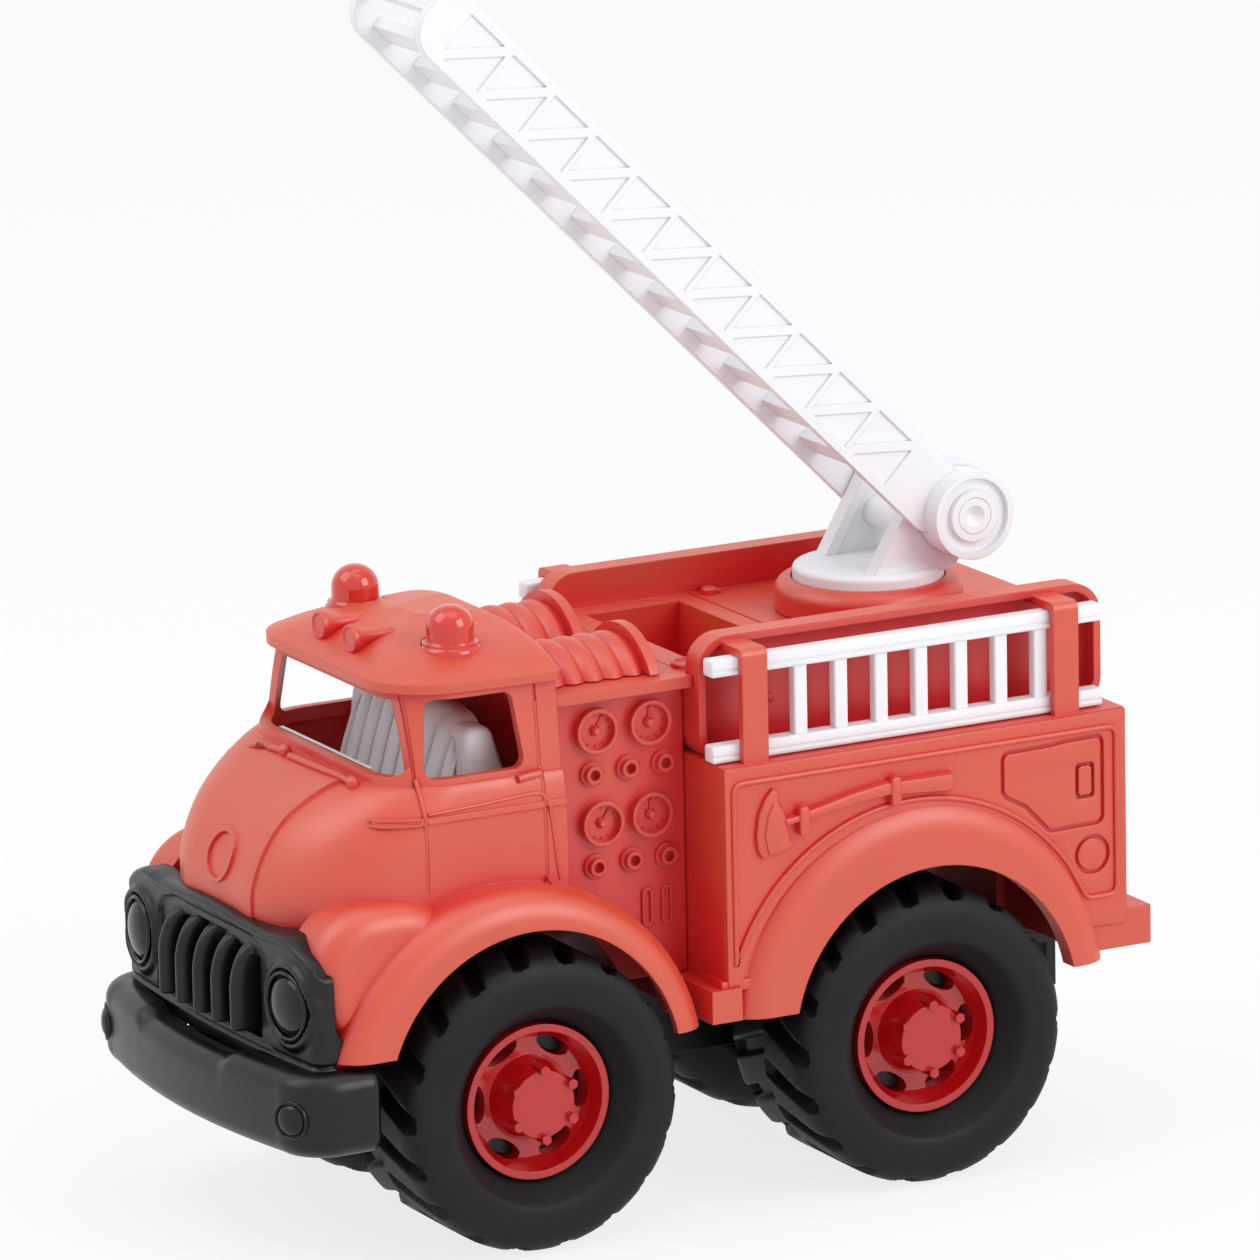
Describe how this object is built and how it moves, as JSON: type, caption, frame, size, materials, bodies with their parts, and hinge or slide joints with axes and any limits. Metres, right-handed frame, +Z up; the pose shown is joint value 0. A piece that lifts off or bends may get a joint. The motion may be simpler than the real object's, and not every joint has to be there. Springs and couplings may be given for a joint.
{
  "type": "toy fire engine",
  "caption": "Toy fire engine in moulded plastic with rounded cab, open windows, big lugged tyres, hose reels, and a ladder that turns on a turret and lifts",
  "frame": {"origin": "on the floor under the middle of the truck's length and width", "axes": "+Y to the truck's rear, +X to its left side, +Z up"},
  "size_m": [0.131, 0.2692, 0.3378],
  "materials": {
    "red_plastic": "satin moulded",
    "beacon_red": "gloss",
    "rim_red": "gloss",
    "black_plastic": "satin moulded",
    "black_gloss": "gloss",
    "tyre_black": "soft satin",
    "white_plastic": "satin moulded",
    "seat_grey": "satin moulded"
  },
  "bodies": {
    "root": {"cab_body": "red_plastic", "cab_roof": "red_plastic", "pump_house": "red_plastic", "hose_reel_left": "red_plastic", "hose_reel_right": "red_plastic", "cargo_body": "red_plastic", "turret_ring": "red_plastic", "chassis": "black_plastic", "grille": "black_plastic", "bumper": "black_plastic", "headlamp_left": "black_gloss", "headlamp_right": "black_gloss", "fog_lamp_left": "black_gloss", "fog_lamp_right": "black_gloss", "beacon_left": "beacon_red", "beacon_right": "beacon_red", "bench_seat": "seat_grey", "side_ladder_left": "white_plastic", "side_ladder_right": "white_plastic"},
    "front_axle": {"axle_front": "black_plastic", "tyre_front_left": "tyre_black", "tyre_front_right": "tyre_black", "wheel_front_left": "rim_red", "wheel_front_right": "rim_red"},
    "rear_axle": {"axle_rear": "black_plastic", "tyre_rear_left": "tyre_black", "tyre_rear_right": "tyre_black", "wheel_rear_left": "rim_red", "wheel_rear_right": "rim_red"},
    "turntable": {"turntable": "white_plastic"},
    "ladder": {"ladder": "white_plastic"}
  },
  "joints": [
    {"name": "front_wheels", "type": "hinge", "parent": "root", "child": "front_axle", "pos_m": [0, -0.0555, 0.041], "axis": [1, 0, 0], "continuous": true},
    {"name": "rear_wheels", "type": "hinge", "parent": "root", "child": "rear_axle", "pos_m": [0, 0.0635, 0.041], "axis": [1, 0, 0], "continuous": true},
    {"name": "turntable_turn", "type": "hinge", "parent": "root", "child": "turntable", "pos_m": [0, 0.081, 0.15], "axis": [0, 0, 1], "continuous": true},
    {"name": "ladder_lift", "type": "hinge", "parent": "turntable", "child": "ladder", "pos_m": [0, 0.0995, 0.175], "axis": [-1, 0, 0], "range_deg": [-40, 35]}
  ]
}
